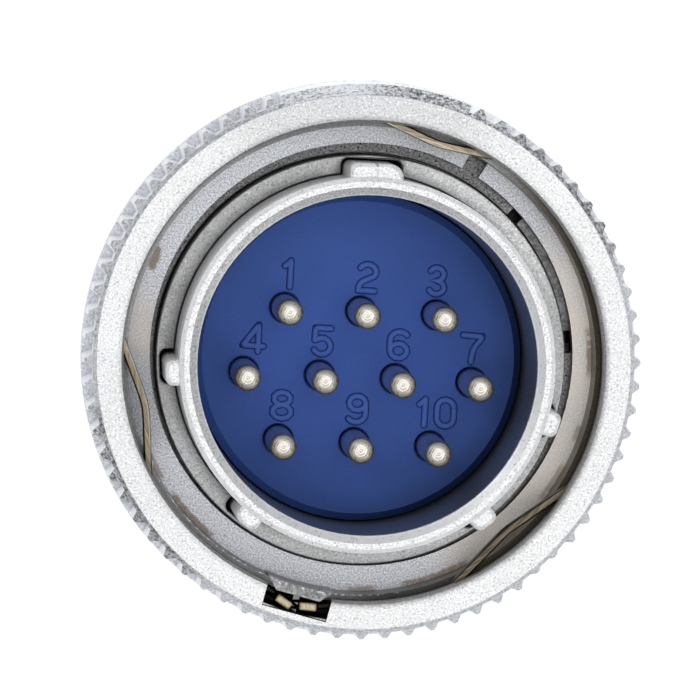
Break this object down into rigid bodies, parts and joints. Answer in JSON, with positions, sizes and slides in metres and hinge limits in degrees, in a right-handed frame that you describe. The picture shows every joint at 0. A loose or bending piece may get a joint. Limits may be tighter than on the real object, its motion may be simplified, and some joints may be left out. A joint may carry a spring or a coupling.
{
  "type": "circular connector",
  "caption": "Straight circular cable plug with male contacts, keyed barrel, push ring and sprung, knurled quick-lock coupling ring.",
  "frame": {"origin": "on the plug's axis, on the rear face of the cable clamp nut that the plug stands on", "axes": "+Z along the axis from the cable end to the mating end; +Y towards the wide key; +X to the right of it, seen from the mating end"},
  "size_m": [0.0328, 0.0328, 0.066],
  "materials": {
    "plated_shell": "satin plated die-cast metal",
    "ring_steel": "stamped spring steel",
    "lock_strip": "tempered spring strip, straw coloured",
    "spring_wire": "drawn spring wire",
    "blue_insulator": "matte moulded plastic",
    "contact": "turned and silver plated",
    "seal_rubber": "matte"
  },
  "bodies": {
    "plug": {"barrel_shell": "plated_shell", "front_insulator": "blue_insulator", "rear_insulator": "blue_insulator", "insulator_gasket": "seal_rubber", "insulator_circlip": "ring_steel", "shell_seal": "seal_rubber", "end_bell": "plated_shell", "seat_washer": "ring_steel", "cable_bushing": "seal_rubber", "slip_washer": "ring_steel", "clamp_nut": "plated_shell", "contact_pin_1": "contact", "contact_pin_2": "contact", "contact_pin_3": "contact", "contact_pin_4": "contact", "contact_pin_5": "contact", "contact_pin_6": "contact", "contact_pin_7": "contact", "contact_pin_8": "contact", "contact_pin_9": "contact", "contact_pin_10": "contact"},
    "coupling": {"coupling_ring": "plated_shell", "lock_spring": "lock_strip", "retaining_ring": "ring_steel", "stop_ring": "plated_shell", "return_spring": "spring_wire"},
    "plunger": {"push_ring": "plated_shell", "push_spring": "spring_wire"}
  },
  "joints": [
    {"name": "coupling_turn", "type": "hinge", "parent": "plug", "child": "coupling", "pos_m": [0, 0, 0.052], "axis": [0, 0, 1], "range_deg": [-3.7, 5.7], "stiffness_Nm_per_rad": 0.05, "deforming": ["return_spring"]},
    {"name": "push_slide", "type": "slide", "parent": "plug", "child": "plunger", "axis": [0, 0, -1], "range_m": [0, 0.002], "stiffness_N_per_m": 500, "springref_m": -0.004, "deforming": ["push_spring"]}
  ]
}
